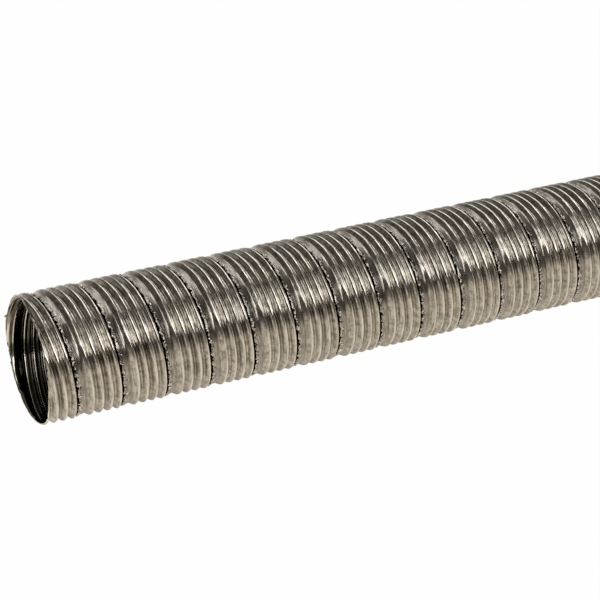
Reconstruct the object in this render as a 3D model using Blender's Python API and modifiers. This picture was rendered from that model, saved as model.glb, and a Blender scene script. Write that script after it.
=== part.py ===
"""Flexible exhaust pipe of a small fuel heater.

One stainless strip, rolled with four ribs and a flat land, is wound as a
right-handed helix. The land of each turn laps over the tongue of the turn
before it, and that lapped seam closes the pipe. Both ends are cut square.
The pipe lies on its side along X, with its open near end at -X.
"""

import math

import bmesh
import bpy

MM = 0.001

# The pipe as a whole
LENGTH = 133.0 * MM
BORE = 24.0 * MM
STRIP = 0.18 * MM

# The rolled section of the strip, from the free edge of its land on
LAND = 1.7 * MM
RISE = 0.8 * MM
RIB_COUNT = 4
RIB_PITCH = 1.9 * MM
RIB_HEIGHT = 0.77 * MM
FOOT = 0.55 * MM
SEAM_GAP = 0.55 * MM
SEAM_LAP = 1.5 * MM
SEAM_CLEARANCE = 0.12 * MM

# Where the seam meets the top of the pipe, from the open end
SEAM_AT_TOP = 3.5 * MM

# Facets in one turn of the strip
SEGMENTS = 18

# What follows from the sizes above
PITCH = LAND + RISE + (RIB_COUNT - 1) * RIB_PITCH + FOOT + SEAM_GAP
FLANK_ANGLE = math.atan2(RIB_HEIGHT, RIB_PITCH / 2)
MITRE = STRIP / 2 / math.cos(FLANK_ANGLE)
VALLEY_RADIUS = BORE / 2 + MITRE
CREST_RADIUS = VALLEY_RADIUS + RIB_HEIGHT
LAND_RADIUS = VALLEY_RADIUS + STRIP + SEAM_CLEARANCE
HALF_FACET = math.pi / SEGMENTS

# Turns wound past each end, which the square cuts take off
SPARE_TURNS = 2


def remove_startup_objects():
    """Empty the scene that Blender opens with."""
    for thing in list(bpy.data.objects):
        bpy.data.objects.remove(thing, do_unlink=True)


def make_collection(name):
    """A new collection in the scene."""
    collection = bpy.data.collections.new(name)
    bpy.context.scene.collection.children.link(collection)
    return collection


def make_steel():
    """Bare stainless sheet, a warm grey."""
    steel = bpy.data.materials.new("stainless_steel")
    steel.use_nodes = True
    shader = steel.node_tree.nodes["Principled BSDF"]
    shader.inputs["Base Color"].default_value = (0.56, 0.54, 0.50, 1.0)
    shader.inputs["Metallic"].default_value = 1.0
    shader.inputs["Roughness"].default_value = 0.28
    return steel


def strip_section():
    """Mid-thickness points of one strip: distance along the axis, radius."""
    points = [(0.0, LAND_RADIUS), (LAND, LAND_RADIUS)]
    crest_at = LAND + RISE
    for rib in range(RIB_COUNT):
        points.append((crest_at, CREST_RADIUS))
        if rib < RIB_COUNT - 1:
            points.append((crest_at + RIB_PITCH / 2, VALLEY_RADIUS))
            crest_at += RIB_PITCH
    tongue_starts = crest_at + FOOT
    points.append((tongue_starts, VALLEY_RADIUS))
    points.append((tongue_starts + SEAM_GAP + SEAM_LAP, VALLEY_RADIUS))
    return points


def make_section_mesh():
    """The open section as a chain of edges, with the winding axis along Z."""
    # The first ring stands half a facet from the bottom of the pipe, half a turn before its top
    turns_from_top = 0.5 - HALF_FACET / (2 * math.pi)
    starts_at = SEAM_AT_TOP - LENGTH / 2 - (turns_from_top + SPARE_TURNS) * PITCH
    bm = bmesh.new()
    ring = [bm.verts.new((radius, 0.0, starts_at + along)) for along, radius in strip_section()]
    for first, second in zip(ring, ring[1:]):
        bm.edges.new((first, second))
    mesh = bpy.data.meshes.new("exhaust_pipe")
    bm.to_mesh(mesh)
    bm.free()
    return mesh


def wind_strip(collection, steel):
    """Wind the section into the pipe, and give the sheet its thickness."""
    pipe = bpy.data.objects.new("exhaust_pipe", make_section_mesh())
    pipe.data.materials.append(steel)
    collection.objects.link(pipe)
    # The winding axis is turned to lie along X, and a facet is turned to the bottom
    pipe.rotation_mode = "ZYX"
    pipe.rotation_euler = (HALF_FACET, math.radians(90), 0.0)

    winding = pipe.modifiers.new("winding", "SCREW")
    winding.axis = "Z"
    winding.angle = 2 * math.pi
    winding.screw_offset = PITCH
    winding.iterations = math.ceil(LENGTH / PITCH) + 2 * SPARE_TURNS
    winding.steps = SEGMENTS
    winding.render_steps = SEGMENTS
    winding.use_smooth_shade = True

    sheet = pipe.modifiers.new("sheet", "SOLIDIFY")
    sheet.thickness = STRIP
    sheet.offset = 0.0
    sheet.use_even_offset = True
    return pipe


def lay_down(pipe):
    """Raise the pipe until its lowest facets lie at height zero."""
    bpy.context.view_layer.update()
    evaluated = pipe.evaluated_get(bpy.context.evaluated_depsgraph_get())
    mesh = evaluated.to_mesh()
    lowest = min((evaluated.matrix_world @ vertex.co).z for vertex in mesh.vertices)
    evaluated.to_mesh_clear()
    pipe.location.z -= lowest


def cut_ends_square(pipe, collection):
    """Keep what lies between the two square cuts."""
    room = 4 * CREST_RADIUS
    bm = bmesh.new()
    bmesh.ops.create_cube(bm, size=1.0)
    bmesh.ops.scale(bm, vec=(LENGTH, room, room), verts=bm.verts)
    mesh = bpy.data.meshes.new("kept_length")
    bm.to_mesh(mesh)
    bm.free()
    kept = bpy.data.objects.new("kept_length", mesh)
    kept.location = pipe.location
    kept.display_type = "WIRE"
    kept.hide_render = True
    collection.objects.link(kept)

    cut = pipe.modifiers.new("square_ends", "BOOLEAN")
    cut.operation = "INTERSECT"
    cut.solver = "EXACT"
    cut.object = kept


def main():
    """Build the pipe."""
    remove_startup_objects()
    parts = make_collection("heater_exhaust_pipe")
    cutters = make_collection("cutters")
    pipe = wind_strip(parts, make_steel())
    lay_down(pipe)
    cut_ends_square(pipe, cutters)


main()
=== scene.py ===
"""Looks of a flexible heater exhaust pipe, wound from one ribbed stainless strip."""

import math
import random

import bmesh
import bpy
from bpy.props import FloatProperty, FloatVectorProperty, IntProperty, PointerProperty
from mathutils import Matrix, Quaternion, Vector, noise


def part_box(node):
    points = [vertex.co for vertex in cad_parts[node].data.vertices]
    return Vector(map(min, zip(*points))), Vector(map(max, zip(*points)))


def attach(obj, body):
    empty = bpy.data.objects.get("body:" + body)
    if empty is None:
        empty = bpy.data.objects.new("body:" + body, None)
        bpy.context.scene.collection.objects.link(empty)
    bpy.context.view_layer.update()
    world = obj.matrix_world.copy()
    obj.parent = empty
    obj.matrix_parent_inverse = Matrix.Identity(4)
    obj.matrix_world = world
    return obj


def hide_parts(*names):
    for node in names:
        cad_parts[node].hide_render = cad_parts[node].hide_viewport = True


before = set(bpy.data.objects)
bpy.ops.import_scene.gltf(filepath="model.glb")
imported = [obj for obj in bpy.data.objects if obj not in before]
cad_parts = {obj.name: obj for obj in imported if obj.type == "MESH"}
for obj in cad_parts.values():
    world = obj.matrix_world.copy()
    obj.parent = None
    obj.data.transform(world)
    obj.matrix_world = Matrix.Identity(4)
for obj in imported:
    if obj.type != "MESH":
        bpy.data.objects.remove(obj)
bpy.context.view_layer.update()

bl_info = {
    "name": "Heater Exhaust Pipe",
    "version": (1, 0, 0),
    "blender": (4, 5, 0),
    "location": "View3D > Sidebar > Exhaust Pipe",
    "description": "Winds a ribbed stainless strip into a flexible exhaust pipe",
    "category": "Object",
}

MM = 0.001
LOW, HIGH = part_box("exhaust_pipe")
AXIS_HEIGHT = (LOW[2] + HIGH[2]) / 2


class StripSettings(bpy.types.PropertyGroup):
    """Sizes of the rolled strip and of its winding."""

    bore: FloatProperty(
        name="Bore", description="Clear width through the pipe",
        default=23.88 * MM, unit="LENGTH", precision=5)
    sheet: FloatProperty(
        name="Sheet", description="Thickness of the strip",
        default=0.18 * MM, unit="LENGTH", precision=5)
    land: FloatProperty(
        name="Land", description="Width of the flat beside the seam",
        default=1.7 * MM, unit="LENGTH", precision=5)
    rise: FloatProperty(
        name="Rise", description="Width of the flank from the land up to the first rib",
        default=0.8 * MM, unit="LENGTH", precision=5)
    rib_count: IntProperty(
        name="Ribs", description="Ribs across the strip", default=4, min=1)
    rib_pitch: FloatProperty(
        name="Rib Pitch", description="Distance from one rib to the next",
        default=1.9 * MM, unit="LENGTH", precision=5)
    rib_height: FloatProperty(
        name="Rib Height", description="Height of a rib above its valley",
        default=0.88 * MM, unit="LENGTH", precision=5)
    foot: FloatProperty(
        name="Foot", description="Width of the last rib's outer flank",
        default=0.55 * MM, unit="LENGTH", precision=5)
    seam_gap: FloatProperty(
        name="Seam Gap", description="Width of the crevice before the next turn's land",
        default=0.55 * MM, unit="LENGTH", precision=5)
    seam_lap: FloatProperty(
        name="Seam Lap", description="How far the tongue runs under the next land",
        default=1.5 * MM, unit="LENGTH", precision=5)
    seam_clearance: FloatProperty(
        name="Seam Clearance", description="Gap between tongue and land",
        default=0.12 * MM, unit="LENGTH", precision=5)
    edge_reach: FloatProperty(
        name="Edge Reach", description="How far the land's free edge reaches over the seam gap",
        default=0.32 * MM, unit="LENGTH", precision=5)
    edge_lift: FloatProperty(
        name="Edge Lift", description="How far the land's free edge stands up from the land",
        default=0.22 * MM, unit="LENGTH", precision=5)
    seam_at_top: FloatProperty(
        name="Seam At Top", description="From the open end to the seam, along the top",
        default=3.5 * MM, unit="LENGTH", precision=5)
    steps: IntProperty(
        name="Steps", description="Steps in one turn of the winding", default=52, min=12)


class WearSettings(bpy.types.PropertyGroup):
    """Crimps, burrs, dents and the ragged rims."""

    crimp_spacing: FloatProperty(
        name="Crimp Spacing", description="Distance between crimps along the seam",
        default=2.35 * MM, unit="LENGTH", precision=5)
    crimp_depth: FloatProperty(
        name="Crimp Depth", description="How far a crimp pushes the free edge out",
        default=0.34 * MM, unit="LENGTH", precision=5)
    waviness: FloatProperty(
        name="Waviness", description="Unevenness of the sheet from rolling and handling",
        default=0.036 * MM, unit="LENGTH", precision=5)
    rim_raggedness: FloatProperty(
        name="Rim Raggedness", description="Unevenness of the cut rims",
        default=0.07 * MM, unit="LENGTH", precision=5)
    seed: IntProperty(name="Seed", description="Chooses the pattern of wear", default=7)


class FinishSettings(bpy.types.PropertyGroup):
    """Colours of the steel and of the floor."""

    steel: FloatVectorProperty(
        name="Steel", description="Colour of the crests, rubbed bright", subtype="COLOR", size=4,
        min=0.0, max=1.0, default=(0.86, 0.822, 0.763, 1.0))
    # Valley colour: duller steel, darkened further as painted shade in the valleys
    dull_and_shaded: FloatVectorProperty(
        name="Dull Steel", description="Colour of the valleys", subtype="COLOR", size=4,
        min=0.0, max=1.0, default=(0.64, 0.607, 0.553, 1.0))
    dark: FloatVectorProperty(
        name="Dark Steel", description="Colour of the valleys' mottling", subtype="COLOR", size=4,
        min=0.0, max=1.0, default=(0.24, 0.22, 0.192, 1.0))
    # Seam colour: dirt, and painted shade in the crevice and the pits beside it
    grime_and_shade: FloatVectorProperty(
        name="Grime", description="Colour of the dirt in the seam", subtype="COLOR", size=4,
        min=0.0, max=1.0, default=(0.03, 0.026, 0.02, 1.0))
    floor: FloatVectorProperty(
        name="Floor", description="Colour of the pale floor", subtype="COLOR", size=4,
        min=0.0, max=1.0, default=(0.82, 0.81, 0.79, 1.0))


def first_crest_of(strip):
    """Where the first rib's crest lies across the strip."""
    return strip.land + strip.rise


def last_crest_of(strip):
    """Where the last rib's crest lies across the strip."""
    return first_crest_of(strip) + (strip.rib_count - 1) * strip.rib_pitch


def foot_of(strip):
    """Where the last rib's outer flank meets the tongue."""
    return last_crest_of(strip) + strip.foot


def pitch_of(strip):
    """Advance of the strip in one turn."""
    return foot_of(strip) + strip.seam_gap


def eased(points, start, end, steps):
    """Append a smooth run from one height to another: start and end are (across, height)."""
    for step in range(1, steps + 1):
        part = step / steps
        across = start[0] + (end[0] - start[0]) * part
        height = start[1] + (end[1] - start[1]) * (0.5 - 0.5 * math.cos(math.pi * part))
        points.append((across, height))


# The lifted edge runs out over the land: distance across in mm, and share of the lift
LIFT_SHAPE = ((0.25, 0.76), (0.6, 0.45), (1.0, 0.12))
EDGE_ROUNDING = 0.1 * MM
EDGE_FLAT = 0.35 * MM
SAG = 0.01 * MM

# The flank from the land to the first rib: shares of its width and of its height
RISE_SHAPE = (
    (0.148, 0.10), (0.315, 0.285), (0.48, 0.50), (0.648, 0.715),
    (0.796, 0.888), (0.907, 0.974), (1.0, 1.0),
)
RISE_STARTS_EARLY = 0.28 * MM

# Points in one flank of a rib, and in the last rib's outer flank
FLANK_STEPS = 5
FOOT_STEPS = 4

# The bead pressed into the tongue: distance from the foot and height, in mm
BEAD_SHAPE = ((0.39, 0.0), (0.55, -0.14), (0.85, 0.0))


def strip_section(strip):
    """Mid-thickness points of the strip: distance from its free edge, height above the valleys."""
    land_height = strip.sheet + strip.seam_clearance
    edge_height = land_height + strip.edge_lift
    edge_at = -strip.edge_reach
    points = [(edge_at, edge_height - 0.2 * strip.sheet), (edge_at + EDGE_ROUNDING, edge_height)]
    points.append((edge_at + EDGE_FLAT, edge_height - SAG))
    for across, lift_share in LIFT_SHAPE:
        points.append((across * MM, land_height + lift_share * strip.edge_lift))
    foot_of_rise = strip.land - RISE_STARTS_EARLY
    points.append((foot_of_rise, land_height - SAG))
    crest_at = first_crest_of(strip)
    for across_share, height_share in RISE_SHAPE:
        across = foot_of_rise + (crest_at - foot_of_rise) * across_share
        points.append((across, land_height + (strip.rib_height - land_height) * height_share))
    for rib in range(strip.rib_count - 1):
        valley_at = crest_at + strip.rib_pitch / 2
        eased(points, (crest_at, strip.rib_height), (valley_at, 0.0), FLANK_STEPS)
        crest_at += strip.rib_pitch
        eased(points, (valley_at, 0.0), (crest_at, strip.rib_height), FLANK_STEPS)
    foot_at = crest_at + strip.foot
    eased(points, (crest_at, strip.rib_height), (foot_at, 0.0), FOOT_STEPS)
    for beyond_foot, height in BEAD_SHAPE:
        points.append((foot_at + beyond_foot * MM, height * MM))
    points.append((foot_at + strip.seam_gap + strip.seam_lap, 0.0))
    return points


def spare_turns(strip):
    """Whole turns wound past each end of the pipe."""
    width = strip_section(strip)[-1][0]
    return math.ceil(width / pitch_of(strip)) + 1


# Vertices closer than this are one, between turns and beside the square cuts
WELD_TURNS = 0.002 * MM
WELD_CUTS = 0.02 * MM
SHORTEST_EDGE = 0.01 * MM


def wind(strip):
    """Spin the open section into the whole winding, longer than the pipe at both ends."""
    pitch = pitch_of(strip)
    valley_radius = strip.bore / 2 + strip.sheet / 2
    section = strip_section(strip)
    spare = spare_turns(strip)
    turns = math.ceil((HIGH[0] - LOW[0]) / pitch) + 2 * spare
    # The section starts at the bottom of the pipe, half a turn before its top
    starts_at = LOW[0] + strip.seam_at_top - (0.5 + spare) * pitch
    bm = bmesh.new()
    across_layer = bm.verts.layers.float.new("across")
    chain = []
    for across, height in section:
        vert = bm.verts.new((starts_at + across, 0.0, AXIS_HEIGHT - valley_radius - height))
        vert[across_layer] = across
        chain.append(vert)
    edges = [bm.edges.new(pair) for pair in zip(chain, chain[1:])]
    bmesh.ops.spin(
        bm, geom=chain + edges, cent=(0.0, 0.0, AXIS_HEIGHT), axis=(1.0, 0.0, 0.0),
        dvec=(pitch / strip.steps, 0.0, 0.0), angle=2 * math.pi,
        space=Matrix(), steps=strip.steps,
        use_merge=False, use_normal_flip=False, use_duplicate=False)
    one_turn = bm.verts[:] + bm.edges[:] + bm.faces[:]
    for turn in range(1, turns):
        copied = bmesh.ops.duplicate(bm, geom=one_turn)["geom"]
        moved = [item for item in copied if isinstance(item, bmesh.types.BMVert)]
        bmesh.ops.translate(bm, verts=moved, vec=(turn * pitch, 0.0, 0.0))
    bmesh.ops.remove_doubles(bm, verts=bm.verts[:], dist=WELD_TURNS)
    turn_layer = bm.verts.layers.float.new("turn")
    for vert in bm.verts:
        vert[turn_layer] = (vert.co.x - vert[across_layer] - starts_at) / pitch
    return bm, across_layer, turn_layer


def cut_square(bm):
    """Cut the winding off at both ends of the pipe."""
    for end, normal in ((LOW[0], (-1.0, 0.0, 0.0)), (HIGH[0], (1.0, 0.0, 0.0))):
        bmesh.ops.bisect_plane(
            bm, geom=bm.verts[:] + bm.edges[:] + bm.faces[:], dist=1e-7,
            plane_co=(end, 0.0, 0.0), plane_no=normal, clear_outer=True)
    bmesh.ops.remove_doubles(bm, verts=bm.verts[:], dist=WELD_CUTS)
    bmesh.ops.dissolve_degenerate(bm, edges=bm.edges[:], dist=SHORTEST_EDGE)


def crimp_places(strip, wear):
    """Turn numbers at which the seam is crimped, and each crimp's strength."""
    rng = random.Random(wear.seed)
    per_turn = math.pi * strip.bore / wear.crimp_spacing
    turns = (HIGH[0] - LOW[0]) / pitch_of(strip) + 6
    places = []
    at = 0.0
    while at < turns:
        at += rng.uniform(0.8, 1.2) / per_turn
        places.append((at, rng.uniform(0.45, 1.15)))
    return places


# The tooth and the notch that a crimp leaves in the free edge, and how far back they fade out
TOOTH_WIDTH = 0.3 * MM
NOTCH_WIDTH = 0.28 * MM
NOTCH_FROM_TOOTH = 0.62 * MM
CRIMP_FADES = 0.4 * MM
WORKED_WIDTH = 0.3 * MM
EDGE_CUTS = 4


def crimp_free_edge(bm, across_layer, turn_layer, strip, wear):
    """Split the sheet finely along its free edge, and tear it into a tooth and a notch at each crimp."""
    worked_to = WORKED_WIDTH - strip.edge_reach
    turned = [
        edge for edge in bm.edges
        if all(vert[across_layer] < worked_to + 0.1 * MM for vert in edge.verts)
        and abs(edge.verts[0][turn_layer] - edge.verts[1][turn_layer]) > 0.001
        and abs(edge.verts[0][across_layer] - edge.verts[1][across_layer]) < 0.001 * MM
    ]
    bmesh.ops.subdivide_edges(bm, edges=turned, cuts=EDGE_CUTS, use_grid_fill=True)
    places = crimp_places(strip, wear)
    around = math.pi * strip.bore
    index = 0
    worked = sorted(
        (vert for vert in bm.verts if vert[across_layer] < worked_to),
        key=lambda vert: vert[turn_layer])
    for vert in worked:
        if not LOW[0] + 0.05 * MM < vert.co.x < HIGH[0] - 0.05 * MM:
            continue
        turn = vert[turn_layer]
        while index + 1 < len(places) and abs(places[index + 1][0] - turn) < abs(places[index][0] - turn):
            index += 1
        at, strength = places[index]
        off = (turn - at) * around
        tooth = strength * math.exp(-(off / TOOTH_WIDTH) ** 2)
        notch = strength * math.exp(-((off - NOTCH_FROM_TOOTH) / NOTCH_WIDTH) ** 2)
        ripple = 0.35 * noise.noise(Vector((turn * 90.0, 3.1, 0.0)))
        ripple += 0.25 * noise.noise(Vector((turn * 23.0, 7.7, 0.0)))
        share = max(0.0, 1.0 - (vert[across_layer] + strip.edge_reach) / CRIMP_FADES)
        out = Vector((0.0, vert.co.y, vert.co.z - AXIS_HEIGHT)).normalized()
        vert.co.x -= wear.crimp_depth * share * (0.8 * tooth - 0.9 * notch + ripple)
        vert.co += out * (wear.crimp_depth * share * (0.45 * tooth - 0.35 * notch))


def edge_place(turn, strip, height):
    """The point of the free edge at a turn number, and the outward direction there."""
    angle = 2 * math.pi * turn
    # The winding starts at the bottom and runs towards the rear
    out = Vector((0.0, math.sin(angle), -math.cos(angle)))
    radius = strip.bore / 2 + 1.5 * strip.sheet + strip.seam_clearance + strip.edge_lift + height
    turns_from_top = turn - 0.5 - spare_turns(strip)
    x = LOW[0] + strip.seam_at_top + turns_from_top * pitch_of(strip) - strip.edge_reach
    return Vector((x, out.y * radius, AXIS_HEIGHT + out.z * radius)), out


# Ranges of the torn chips: size beside the crimp's, place across in mm, half lengths in mm, and shape
CHIP_SIZE = (0.75, 1.65)
CHIP_ACROSS = (-0.02, 0.38)
CHIP_LENGTH = (0.19, 0.38)
CHIP_WIDTH = (0.13, 0.24)
CHIP_THICKNESS = (0.13, 0.2)
CHIP_RAGGEDNESS = (0.6, 1.25)
CHIP_LEAN = (-0.6, 0.6)
CHIP_STANDS = 0.11 * MM

# Some crimps have one more chip a little further round: how often, and its ranges
STRAY_SHARE = 0.6
STRAY_TURN = (0.008, 0.02)
STRAY_ACROSS = (0.0, 0.45)
STRAY_SIZE = (0.4, 0.8)


def scatter_burrs(strip, wear):
    """Small torn chips that stand on the free edge, most of them at the crimps."""
    rng = random.Random(wear.seed + 1)
    spots = []
    for at, strength in crimp_places(strip, wear):
        for chip in range(rng.choice((1, 2, 2, 3))):
            size = rng.uniform(*CHIP_SIZE) * strength
            spots.append((at + rng.gauss(0.0, 0.005), rng.uniform(*CHIP_ACROSS), size))
        if rng.random() < STRAY_SHARE:
            turn = at + rng.uniform(*STRAY_TURN)
            spots.append((turn, rng.uniform(*STRAY_ACROSS), rng.uniform(*STRAY_SIZE)))
    bm = bmesh.new()
    for turn, across, size in spots:
        place, out = edge_place(turn, strip, CHIP_STANDS)
        place.x += across * MM
        if not LOW[0] + 0.5 * MM < place.x < HIGH[0] - 0.5 * MM:
            continue
        long = rng.uniform(*CHIP_LENGTH) * size * MM
        wide = rng.uniform(*CHIP_WIDTH) * MM
        lean = Matrix.Rotation(rng.uniform(*CHIP_LEAN), 4, "X")
        lean = lean @ Matrix.Rotation(rng.uniform(0, math.pi), 4, "Z")
        shape = Matrix.Diagonal((long, wide, rng.uniform(*CHIP_THICKNESS) * MM, 1.0))
        turned = out.to_track_quat("Z", "X").to_matrix().to_4x4()
        chip = bmesh.ops.create_icosphere(
            bm, subdivisions=1, radius=1.0, matrix=Matrix.Translation(place) @ turned @ lean @ shape)
        for vert in chip["verts"]:
            vert.co = place + (vert.co - place) * rng.uniform(*CHIP_RAGGEDNESS)
    return bm


# Marks on the open rim: degrees from the rear, how far in and how wide in mm; below nought it stands out
RIM_MARKS = (
    (20, -0.5, 0.22), (66, -0.35, 0.35), (104, 0.25, 0.3), (118, 0.5, 0.28), (127, 0.4, 0.25),
    (156, 0.5, 0.3), (171, 0.25, 0.3), (216, 0.2, 0.35), (248, 0.12, 0.4), (300, 0.12, 0.3),
    (322, 0.2, 0.35), (345, 0.15, 0.3),
)


def rim_cut(angle, end, strip, wear):
    """How far inwards a rim is cut at an angle about the pipe."""
    around = Vector((math.cos(angle), math.sin(angle), end * 50.0))
    ragged = noise.noise(around * 6.0) + 0.7 * noise.noise(around * 27.0)
    depth = wear.rim_raggedness * (ragged - 1.6)
    if end < 0.0:
        for mark, mark_depth, width in RIM_MARKS:
            off = (angle - math.radians(mark) + math.pi) % (2 * math.pi) - math.pi
            depth += mark_depth * MM * math.exp(-(off * strip.bore / 2 / (width * MM)) ** 2)
    return depth


def unevenness(co, along, across, wear):
    """How far the sheet stands off its true form at a point."""
    coarse = noise.noise(Vector((co.x / 0.011, co.y / 0.006, co.z / 0.006)))
    fine = noise.noise(Vector((co.x / 0.0045, co.y / 0.0045 + 5.0, co.z / 0.0045)))
    rolled = noise.noise(Vector((along / 0.0055, across / 0.0011, 2.5)))
    return wear.waviness * (coarse + 0.4 * fine + 0.6 * rolled)


# A vertex this close to a square cut belongs to its rim
RIM_REACH = 0.02 * MM


def wear_sheet(bm, across_layer, turn_layer, strip, wear):
    """Give the sheet its slight unevenness and the cut rims their raggedness."""
    ends = ((LOW[0], 1.0), (HIGH[0], -1.0))
    rims = [
        edge for edge in bm.edges
        if any(all(abs(vert.co.x - end) < RIM_REACH for vert in edge.verts) for end, inward in ends)
    ]
    bmesh.ops.subdivide_edges(bm, edges=rims, cuts=2, use_grid_fill=False)
    for vert in bm.verts:
        out = Vector((0.0, vert.co.y, vert.co.z - AXIS_HEIGHT)).normalized()
        along = vert[turn_layer] * math.pi * strip.bore
        for end, inward in ends:
            if abs(vert.co.x - end) < RIM_REACH:
                vert.co.x += inward * rim_cut(math.atan2(out.z, out.y), end, strip, wear)
        place = vert.co - Vector((0.0, 0.0, AXIS_HEIGHT))
        vert.co += out * unevenness(place, along, vert[across_layer], wear)


def lay_out_strip(bm, across_layer, turn_layer, strip):
    """A UV map that lies along and across the strip, in metres."""
    turn_length = math.pi * (strip.bore + strip.rib_height)
    uv_layer = bm.loops.layers.uv.new("strip")
    for face in bm.faces:
        for loop in face.loops:
            loop[uv_layer].uv = (loop.vert[turn_layer] * turn_length, loop.vert[across_layer])


def new_object(name, bm, material):
    """Put a finished bmesh into the scene, smooth shaded."""
    mesh = bpy.data.meshes.new(name)
    bm.to_mesh(mesh)
    bm.free()
    mesh.shade_smooth()
    mesh.materials.append(material)
    made = bpy.data.objects.new(name, mesh)
    bpy.context.scene.collection.objects.link(made)
    return made


class NodeChart:
    """Short ways to add and link shader nodes."""

    def __init__(self, tree):
        self.nodes = tree.nodes
        self.links = tree.links

    def add(self, kind, **settings):
        """A new node with its settings."""
        node = self.nodes.new(kind)
        for name, value in settings.items():
            setattr(node, name, value)
        return node

    def math(self, operation, first, second=None, clamp=False):
        """A Math node of one or two inputs, each a socket or a number."""
        node = self.add("ShaderNodeMath", operation=operation, use_clamp=clamp)
        for socket, value in zip(node.inputs, (first, second)):
            if isinstance(value, bpy.types.NodeSocket):
                self.links.new(value, socket)
            elif value is not None:
                socket.default_value = value
        return node.outputs[0]

    def noise(self, vector, scale, detail=2.0, roughness=0.5):
        """A noise texture's factor."""
        node = self.add("ShaderNodeTexNoise")
        node.inputs["Scale"].default_value = scale
        node.inputs["Detail"].default_value = detail
        node.inputs["Roughness"].default_value = roughness
        self.links.new(vector, node.inputs["Vector"])
        return node.outputs["Fac"]

    def turned(self, vector, angle, scale):
        """The vector turned in its plane, then scaled along each axis."""
        turn = self.add("ShaderNodeVectorRotate", rotation_type="Z_AXIS")
        turn.inputs["Angle"].default_value = angle
        self.links.new(vector, turn.inputs["Vector"])
        node = self.add("ShaderNodeMapping")
        node.inputs["Scale"].default_value = scale
        self.links.new(turn.outputs["Vector"], node.inputs["Vector"])
        return node.outputs["Vector"]

    def plus(self, value, factor, base):
        """The value times a factor, plus a base."""
        return self.math("ADD", self.math("MULTIPLY", value, factor), base)

    def spread(self, value, low, high):
        """The value spread smoothly from nought at low to one at high."""
        node = self.add("ShaderNodeMapRange", interpolation_type="SMOOTHSTEP")
        self.links.new(value, node.inputs["Value"])
        node.inputs["From Min"].default_value = low
        node.inputs["From Max"].default_value = high
        return node.outputs["Result"]

    def band(self, value, low, high, soft):
        """One between low and high, falling softly to nought outside."""
        rise = self.add("ShaderNodeMapRange", interpolation_type="SMOOTHSTEP")
        fall = self.add("ShaderNodeMapRange", interpolation_type="SMOOTHSTEP")
        for node, start, end in ((rise, low - soft, low + soft), (fall, high + soft, high - soft)):
            self.links.new(value, node.inputs["Value"])
            node.inputs["From Min"].default_value = start
            node.inputs["From Max"].default_value = end
        return self.math("MULTIPLY", rise.outputs["Result"], fall.outputs["Result"])

    def blend(self, factor, first, second):
        """A colour mixed from two, each a socket or a colour."""
        node = self.add("ShaderNodeMix", data_type="RGBA")
        self.links.new(factor, node.inputs["Factor"])
        for socket, value in ((node.inputs["A"], first), (node.inputs["B"], second)):
            if isinstance(value, bpy.types.NodeSocket):
                self.links.new(value, socket)
            else:
                socket.default_value = value
        return node.outputs["Result"]


def new_finish(name):
    """A new material, the chart of its nodes and its main shader."""
    material = bpy.data.materials.new(name)
    material.use_nodes = True
    chart = NodeChart(material.node_tree)
    return material, chart, chart.nodes["Principled BSDF"]


def sheet_places(chart):
    """Where a point lies on the strip, how far across it, and where in space."""
    uv = chart.add("ShaderNodeUVMap", uv_map="strip").outputs["UV"]
    split = chart.add("ShaderNodeSeparateXYZ")
    chart.links.new(uv, split.inputs["Vector"])
    return uv, split.outputs["Y"], chart.add("ShaderNodeTexCoord").outputs["Object"]


def rib_wave(chart, across, strip, shift):
    """One on each rib's crest and minus one in each valley, shifted across the strip."""
    from_crest = chart.math("SUBTRACT", across, first_crest_of(strip) + shift)
    return chart.math("COSINE", chart.math("MULTIPLY", from_crest, 2 * math.pi / strip.rib_pitch))


def crest_share(chart, across, strip):
    """One on the ribs' crests and nought in their valleys and on the land."""
    wave = rib_wave(chart, across, strip, 0.12 * MM)
    half_rib = 0.5 * strip.rib_pitch
    ribs = chart.band(
        across, first_crest_of(strip) - half_rib, last_crest_of(strip) + half_rib, 0.05 * MM)
    return chart.math("MULTIPLY", chart.spread(wave, 0.35, 1.0), ribs)


# Colours of the marks on the sheet, and of the painted shade in its middle valley and at the land's end
PALE_SCRATCH = (0.70, 0.66, 0.60, 1.0)
OLIVE_CAST = (0.38, 0.38, 0.29, 1.0)
DARK_STREAK_AND_SHADE = (0.17, 0.156, 0.135, 1.0)
PALE_STREAK = (0.62, 0.585, 0.53, 1.0)
PAINTED_VALLEY_SHADE = (0.22, 0.2, 0.17, 1.0)
ROLLED_LINE = (0.14, 0.129, 0.113, 1.0)

# A place well before the free edge, from which the land's masks begin
BEFORE_EDGE = -1.0 * MM


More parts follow.
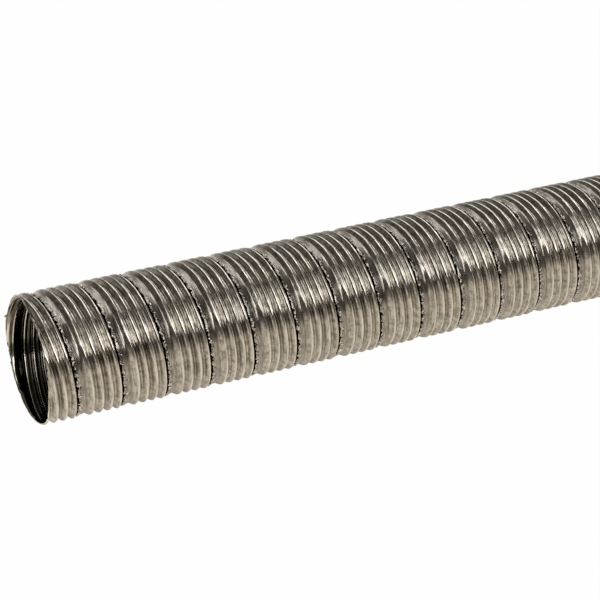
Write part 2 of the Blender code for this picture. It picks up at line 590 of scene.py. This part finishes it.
def make_outer_steel(finish, strip):
    """Rolled sheet: crests rubbed bright, duller valleys darkened further with painted shade, a scratched
    land with painted shade at its end, and dirt with painted shade in the seam.
    """
    steel, chart, shader = new_finish("rolled_stainless")
    uv, across, place = sheet_places(chart)

    crest = crest_share(chart, across, strip)
    land = chart.band(across, BEFORE_EDGE, strip.land - 0.35 * MM, 0.15 * MM)
    # Painted shade across the land's end, at the foot of the rise
    land_end_shade = chart.band(across, 0.95 * MM, 1.45 * MM, 0.2 * MM)
    edge = chart.band(across, BEFORE_EDGE, 0.08 * MM - strip.edge_reach, 0.04 * MM)
    torn = chart.band(across, BEFORE_EDGE, 0.28 * MM, 0.14 * MM)
    # A band over the middle valley, for painted shade
    middle_from = first_crest_of(strip) + 1.25 * strip.rib_pitch
    middle_to = first_crest_of(strip) + 1.72 * strip.rib_pitch
    middle = chart.band(across, middle_from, middle_to, 0.25 * MM)
    foot_at = foot_of(strip)
    # The seam's crevice and tongue: dirt, and painted shade where the crevice lies in shadow
    seam = chart.spread(across, foot_at - 0.08 * MM, foot_at + 0.06 * MM)

    scratches = chart.noise(chart.turned(uv, 0.06, (500.0, 9000.0, 1.0)), 1.0, 3.0, 0.6)
    rolled = chart.noise(chart.turned(uv, 0.0, (210.0, 3600.0, 1.0)), 1.0, 3.0, 0.6)
    # Dark pits near the free edge: dirt, and painted shadow beside the torn chips
    pit_dirt_and_shadow = chart.spread(chart.noise(uv, 2300.0, 2.0), 0.52, 0.62)
    mottle = chart.noise(place, 900.0, 4.0, 0.65)
    cast = chart.noise(place, 110.0, 2.0)

    body = chart.blend(chart.spread(mottle, 0.36, 0.68), finish.dull_and_shaded, finish.dark)
    lines = chart.math("MULTIPLY", chart.spread(scratches, 0.42, 0.66), 0.5)
    body = chart.blend(lines, body, PALE_SCRATCH)
    body = chart.blend(chart.math("MULTIPLY", chart.spread(cast, 0.45, 0.7), 0.22), body, OLIVE_CAST)
    streaked = chart.blend(chart.spread(scratches, 0.38, 0.64), DARK_STREAK_AND_SHADE, PALE_STREAK)
    body = chart.blend(chart.math("MULTIPLY", land, 0.8), body, streaked)
    # Crests in the bright steel; the darker valleys beside them hold painted shade
    body = chart.blend(crest, body, finish.steel)
    # Painted shade in the middle valley
    body = chart.blend(chart.math("MULTIPLY", middle, 0.4), body, PAINTED_VALLEY_SHADE)
    # Painted shade at the land's end, in the dark streak colour
    body = chart.blend(chart.math("MULTIPLY", land_end_shade, 0.4), body, DARK_STREAK_AND_SHADE)
    body = chart.blend(chart.math("MULTIPLY", chart.spread(rolled, 0.48, 0.64), 0.5), body, ROLLED_LINE)
    body = chart.blend(edge, body, finish.steel)
    # Dirt and painted shadow in pits near the free edge
    body = chart.blend(chart.math("MULTIPLY", torn, pit_dirt_and_shadow), body, finish.grime_and_shade)
    # Dirt and painted shade in the seam
    body = chart.blend(seam, body, finish.grime_and_shade)
    chart.links.new(body, shader.inputs["Base Color"])

    rough = chart.plus(scratches, 0.12, 0.035)
    rough = chart.math("ADD", rough, chart.math("MULTIPLY", land, 0.02))
    rough = chart.math("ADD", rough, chart.math("MULTIPLY", mottle, 0.05))
    rough = chart.math("ADD", rough, chart.math("MULTIPLY", seam, 0.4))
    rough = chart.math("SUBTRACT", rough, chart.math("MULTIPLY", crest, 0.06), clamp=True)
    chart.links.new(rough, shader.inputs["Roughness"])

    grooves = chart.math("MULTIPLY", scratches, chart.plus(land, 1.0, 0.25))
    dimples = chart.math("MULTIPLY", mottle, chart.plus(land, 1.4, 0.4))
    bump = chart.add("ShaderNodeBump")
    bump.inputs["Strength"].default_value = 0.5
    bump.inputs["Distance"].default_value = 0.02 * MM
    waves = chart.math("MULTIPLY", rolled, 3.6)
    chart.links.new(chart.math("ADD", waves, chart.math("ADD", grooves, dimples)), bump.inputs["Height"])
    chart.links.new(bump.outputs["Normal"], shader.inputs["Normal"])

    along = chart.add("ShaderNodeTangent", direction_type="UV_MAP", uv_map="strip")
    chart.links.new(along.outputs["Tangent"], shader.inputs["Tangent"])
    shader.inputs["Anisotropic"].default_value = 0.5
    shader.inputs["Metallic"].default_value = 1.0
    return steel


# Colours of the strip's inside: painted shade, painted light by the open rim, and painted highlights on
# the folds
INNER_SHADE = (0.13, 0.115, 0.095, 1.0)
DEEPER_INNER_SHADE = (0.06, 0.052, 0.043, 1.0)
RIM_SHEEN = (0.4, 0.37, 0.32, 1.0)
PAINTED_FOLD_HIGHLIGHT = (0.88, 0.84, 0.77, 1.0)


def make_inner_steel(strip):
    """The inside of the strip, dark with painted shade, with painted light by the open rim and painted
    highlights along its folds and the tongue's bead.
    """
    steel, chart, shader = new_finish("inner_stainless")
    across, place = sheet_places(chart)[1:]
    mottle = chart.noise(place, 700.0, 4.0, 0.65)
    wave = rib_wave(chart, across, strip, 0.16 * MM)
    ribs = chart.band(
        across, first_crest_of(strip) - 0.3 * MM, last_crest_of(strip) + 0.5 * MM, 0.1 * MM)
    # Painted highlights along the folds and the tongue's bead
    folds = chart.math("MULTIPLY", chart.spread(wave, 0.76, 0.95), ribs)
    foot_at = foot_of(strip)
    bead = chart.band(across, foot_at + 0.39 * MM, foot_at + 0.6 * MM, 0.04 * MM)
    painted_ridge_highlight = chart.math("ADD", folds, bead, clamp=True)
    depth = chart.add("ShaderNodeSeparateXYZ")
    chart.links.new(place, depth.inputs["Vector"])
    inward = chart.spread(depth.outputs["X"], LOW[0] + 0.05 * MM, LOW[0] + 0.5 * MM)
    # Painted shade over the inside, turning to painted light close to the open rim
    dark = chart.blend(chart.spread(mottle, 0.3, 0.75), INNER_SHADE, DEEPER_INNER_SHADE)
    dark = chart.blend(inward, RIM_SHEEN, dark)
    chart.links.new(chart.blend(painted_ridge_highlight, dark, PAINTED_FOLD_HIGHLIGHT), shader.inputs["Base Color"])
    chart.links.new(chart.plus(mottle, 0.14, 0.06), shader.inputs["Roughness"])
    shader.inputs["Metallic"].default_value = 1.0
    return steel


FRESH_TEAR = (0.95, 0.93, 0.88, 1.0)


def make_burr_steel(finish):
    """Bright torn metal on the cut edge."""
    steel, chart, shader = new_finish("torn_stainless")
    place = chart.add("ShaderNodeTexCoord").outputs["Object"]
    mottle = chart.noise(place, 3000.0, 2.0, 0.5)
    torn = chart.blend(chart.spread(mottle, 0.3, 0.7), finish.steel, FRESH_TEAR)
    chart.links.new(torn, shader.inputs["Base Color"])
    chart.links.new(chart.plus(mottle, 0.3, 0.25), shader.inputs["Roughness"])
    shader.inputs["Metallic"].default_value = 1.0
    return steel


class EXHAUST_OT_wound_strip(bpy.types.Operator):
    """Wind the ribbed strip into the pipe"""

    bl_idname = "exhaust.wound_strip"
    bl_label = "Wound Strip"

    def execute(self, context):
        strip = context.scene.exhaust_strip
        wear = context.scene.exhaust_wear
        bm, across_layer, turn_layer = wind(strip)
        cut_square(bm)
        crimp_free_edge(bm, across_layer, turn_layer, strip, wear)
        wear_sheet(bm, across_layer, turn_layer, strip, wear)
        lay_out_strip(bm, across_layer, turn_layer, strip)
        bmesh.ops.reverse_faces(bm, faces=bm.faces[:])
        finish = context.scene.exhaust_finish
        pipe = new_object("wound_strip", bm, make_outer_steel(finish, strip))
        pipe.data.materials.append(make_inner_steel(strip))
        sheet = pipe.modifiers.new("sheet", "SOLIDIFY")
        sheet.thickness = strip.sheet
        sheet.offset = 0.0
        sheet.material_offset = 1
        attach(pipe, "root")
        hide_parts("exhaust_pipe")
        return {"FINISHED"}


class EXHAUST_OT_edge_burrs(bpy.types.Operator):
    """Scatter torn chips along the seam"""

    bl_idname = "exhaust.edge_burrs"
    bl_label = "Edge Burrs"

    def execute(self, context):
        bm = scatter_burrs(context.scene.exhaust_strip, context.scene.exhaust_wear)
        burrs = new_object("edge_burrs", bm, make_burr_steel(context.scene.exhaust_finish))
        burrs.data.shade_flat()
        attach(burrs, "root")
        return {"FINISHED"}


# The camera that fits the photograph, placed from the middle of the open end
CAMERA_OFFSET = Vector((-112.3 * MM, -358.5 * MM, 204.0 * MM))
CAMERA_TURN = math.radians(25.46)
CAMERA_TILT = math.radians(27.17)
FOCAL_PIXELS = 2190.0
FRAME_PIXELS = 600.0
SENSOR_MM = 36.0


def make_camera():
    """The camera at the photograph's place."""
    camera = bpy.data.objects.new("camera", bpy.data.cameras.new("camera"))
    camera.data.sensor_width = SENSOR_MM
    camera.data.lens = SENSOR_MM * FOCAL_PIXELS / FRAME_PIXELS
    camera.data.clip_start = 0.01
    camera.data.clip_end = 20.0
    camera.location = Vector((LOW[0], 0.0, AXIS_HEIGHT)) + CAMERA_OFFSET
    camera.rotation_euler = (math.radians(90) - CAMERA_TILT, 0.0, -CAMERA_TURN)
    bpy.context.scene.collection.objects.link(camera)
    bpy.context.scene.camera = camera


def make_softbox(name, azimuth, elevation, roll, distance, width, height, radiance, colour):
    """A rectangular lamp that faces the pipe, seen from it at the given bearing and roll."""
    lamp = bpy.data.lights.new(name, "AREA")
    lamp.shape = "RECTANGLE"
    lamp.size = width
    lamp.size_y = height
    lamp.energy = radiance * math.pi * width * height
    lamp.color = colour
    around = math.radians(azimuth)
    up = math.radians(elevation)
    towards = Vector((math.sin(around) * math.cos(up), -math.cos(around) * math.cos(up), math.sin(up)))
    made = bpy.data.objects.new(name, lamp)
    made.location = Vector((0.0, 0.0, AXIS_HEIGHT)) + towards * distance
    facing = towards.to_track_quat("Z", "Y") @ Quaternion((0.0, 0.0, 1.0), math.radians(roll))
    made.rotation_euler = facing.to_euler()
    bpy.context.scene.collection.objects.link(made)


WHITE = (1.0, 1.0, 1.0, 1.0)

# Painted reflection of the floor in the steel: dark far in front of the pipe, light close to it
FLOOR_FAR = (0.19, 0.172, 0.147, 1.0)
FLOOR_NEAR = (0.765, 0.70, 0.60, 1.0)
FLOOR_FADES = (-0.155, -0.02)

# Share of the camera's view of the floor that is plain white; the rest shows the shadow
WHITE_SHARE = 0.985


def make_floor_finish(finish):
    """Pale floor: white to the camera with a faint shadow, and in the steel a warm grey painted
    reflection with a painted shadow under the pipe.
    """
    pale, chart, shader = new_finish("pale_floor")
    output = chart.nodes["Material Output"]
    shader.inputs["Base Color"].default_value = finish.floor
    shader.inputs["Roughness"].default_value = 0.9
    glow = chart.add("ShaderNodeEmission")
    glow.inputs["Color"].default_value = WHITE
    warm = chart.add("ShaderNodeEmission")
    rays = chart.add("ShaderNodeLightPath")
    seen = chart.math("MULTIPLY", rays.outputs["Is Camera Ray"], WHITE_SHARE)
    place = chart.add("ShaderNodeSeparateXYZ")
    chart.links.new(chart.add("ShaderNodeTexCoord").outputs["Object"], place.inputs["Vector"])
    front = chart.spread(place.outputs["Y"], *FLOOR_FADES)
    # Painted shadow in the reflected floor under the pipe, not beyond its open end
    under = chart.band(place.outputs["Y"], -5 * MM, 5 * MM, 4 * MM)
    covered = chart.spread(place.outputs["X"], LOW[0] - 1 * MM, LOW[0] + 6 * MM)
    under = chart.math("MULTIPLY", under, covered)
    floor_colour = chart.blend(front, FLOOR_FAR, FLOOR_NEAR)
    chart.links.new(floor_colour, warm.inputs["Color"])
    chart.links.new(chart.plus(under, -0.7, 1.0), warm.inputs["Strength"])
    mirrored = rays.outputs["Is Glossy Ray"]
    through = chart.math("MULTIPLY", rays.outputs["Is Transmission Ray"], 0.9)
    lit = chart.add("ShaderNodeMixShader")
    chart.links.new(mirrored, lit.inputs["Fac"])
    chart.links.new(shader.outputs["BSDF"], lit.inputs[1])
    chart.links.new(warm.outputs["Emission"], lit.inputs[2])
    mix = chart.add("ShaderNodeMixShader")
    chart.links.new(chart.math("ADD", seen, through, clamp=True), mix.inputs["Fac"])
    chart.links.new(lit.outputs["Shader"], mix.inputs[1])
    chart.links.new(glow.outputs["Emission"], mix.inputs[2])
    chart.links.new(mix.outputs["Shader"], output.inputs["Surface"])
    return pale


FLOOR_RADIUS = 4.0
FLOOR_BELOW = 0.05 * MM


def make_floor(finish):
    """A wide plain floor under the pipe."""
    bm = bmesh.new()
    bmesh.ops.create_circle(bm, cap_ends=True, segments=64, radius=FLOOR_RADIUS)
    bmesh.ops.translate(bm, verts=bm.verts, vec=(0.0, 0.0, AXIS_HEIGHT - HIGH[1] - FLOOR_BELOW))
    floor = new_object("floor", bm, make_floor_finish(finish))


# The room's light: ahead of the pipe, behind it, straight above, and the low backdrop
ROOM_AHEAD = (0.115, 0.106, 0.092, 1.0)
ROOM_BEHIND = (0.27, 0.256, 0.234, 1.0)
ROOM_ABOVE = (0.42, 0.402, 0.373, 1.0)
ROOM_BACKDROP = (0.44, 0.425, 0.395, 1.0)


def make_world():
    """A dim room above the floor, white where the camera sees past it."""
    world = bpy.data.worlds.new("studio")
    bpy.context.scene.world = world
    world.use_nodes = True
    chart = NodeChart(world.node_tree)
    room = chart.nodes["Background"]
    output = chart.nodes["World Output"]
    direction = chart.add("ShaderNodeTexCoord").outputs["Generated"]
    split = chart.add("ShaderNodeSeparateXYZ")
    chart.links.new(direction, split.inputs["Vector"])
    behind = chart.spread(split.outputs["Y"], -0.35, 0.3)
    rightward = chart.spread(split.outputs["X"], -0.4, 0.35)
    ceiling = chart.blend(chart.math("MULTIPLY", behind, rightward), ROOM_AHEAD, ROOM_BEHIND)
    overhead = chart.spread(split.outputs["Z"], 0.91, 0.985)
    ceiling = chart.blend(overhead, ceiling, ROOM_ABOVE)
    low = chart.math("SUBTRACT", 1.0, chart.spread(split.outputs["Z"], 0.1, 0.5))
    backdrop = chart.math("MULTIPLY", chart.spread(split.outputs["Y"], 0.1, 0.5), low)
    room_colour = chart.blend(backdrop, ceiling, ROOM_BACKDROP)
    chart.links.new(room_colour, room.inputs["Color"])
    white = chart.add("ShaderNodeBackground")
    white.inputs["Color"].default_value = WHITE
    rays = chart.add("ShaderNodeLightPath")
    mix = chart.add("ShaderNodeMixShader")
    chart.links.new(rays.outputs["Is Camera Ray"], mix.inputs["Fac"])
    chart.links.new(room.outputs["Background"], mix.inputs[1])
    chart.links.new(white.outputs["Background"], mix.inputs[2])
    chart.links.new(mix.outputs["Shader"], output.inputs["Surface"])


WARM_LIGHT = (1.0, 0.985, 0.955)
WARMER_LIGHT = (1.0, 0.985, 0.95)
PLAIN_LIGHT = (1.0, 0.99, 0.96)

# Lamps: name, azimuth, elevation and roll in degrees, distance, width, height, radiance, colour
LAMPS = (
    ("front_softbox", -8.0, 36.5, -10.0, 0.8, 1.06, 0.45, 1.28, WARM_LIGHT),
    ("low_strip", -8.0, 25.5, -10.0, 0.79, 1.06, 0.13, 1.25, WARM_LIGHT),
    ("upper_softbox", -28.0, 57.0, -14.0, 0.8, 0.42, 0.24, 0.85, WARMER_LIGHT),
    ("rear_card", 150.0, 42.0, 0.0, 0.9, 0.68, 0.62, 0.92, PLAIN_LIGHT),
    ("top_card", 112.0, 75.0, 0.0, 0.9, 0.45, 0.4, 1.2, PLAIN_LIGHT),
    ("side_card", 75.0, 17.0, -25.0, 0.9, 0.62, 0.27, 1.05, PLAIN_LIGHT),
    ("spot_card", 114.0, 66.0, 0.0, 0.85, 0.12, 0.09, 3.2, PLAIN_LIGHT),
)


class EXHAUST_OT_stage(bpy.types.Operator):
    """Set up the floor, the lamps, the world and the camera"""

    bl_idname = "exhaust.stage"
    bl_label = "Stage"

    def execute(self, context):
        make_floor(context.scene.exhaust_finish)
        for lamp in LAMPS:
            make_softbox(*lamp)
        make_world()
        make_camera()
        context.scene.view_settings.view_transform = "Standard"
        return {"FINISHED"}


class EXHAUST_PT_panel(bpy.types.Panel):
    """Lists the settings and the steps that make the pipe"""

    bl_label = "Heater Exhaust Pipe"
    bl_idname = "EXHAUST_PT_panel"
    bl_space_type = "VIEW_3D"
    bl_region_type = "UI"
    bl_category = "Exhaust Pipe"

    def draw(self, context):
        layout = self.layout
        for group in SETTINGS:
            settings = getattr(context.scene, group)
            column = layout.column()
            for name in settings.__annotations__:
                column.prop(settings, name)
        for step in STEPS:
            layout.operator(step.bl_idname)


SETTINGS = {
    "exhaust_strip": StripSettings,
    "exhaust_wear": WearSettings,
    "exhaust_finish": FinishSettings,
}
STEPS = (EXHAUST_OT_wound_strip, EXHAUST_OT_edge_burrs, EXHAUST_OT_stage)


def register():
    """Make the settings, operators and panel known."""
    for name, group in SETTINGS.items():
        bpy.utils.register_class(group)
        setattr(bpy.types.Scene, name, PointerProperty(type=group))
    for step in STEPS:
        bpy.utils.register_class(step)
    bpy.utils.register_class(EXHAUST_PT_panel)


def unregister():
    """Take them out again."""
    bpy.utils.unregister_class(EXHAUST_PT_panel)
    for step in reversed(STEPS):
        bpy.utils.unregister_class(step)
    for name, group in reversed(SETTINGS.items()):
        delattr(bpy.types.Scene, name)
        bpy.utils.unregister_class(group)


def main():
    """Build the pipe and its stage."""
    register()
    bpy.ops.exhaust.wound_strip()
    bpy.ops.exhaust.edge_burrs()
    bpy.ops.exhaust.stage()
    bpy.context.view_layer.update()


if __name__ == "__main__":
    main()
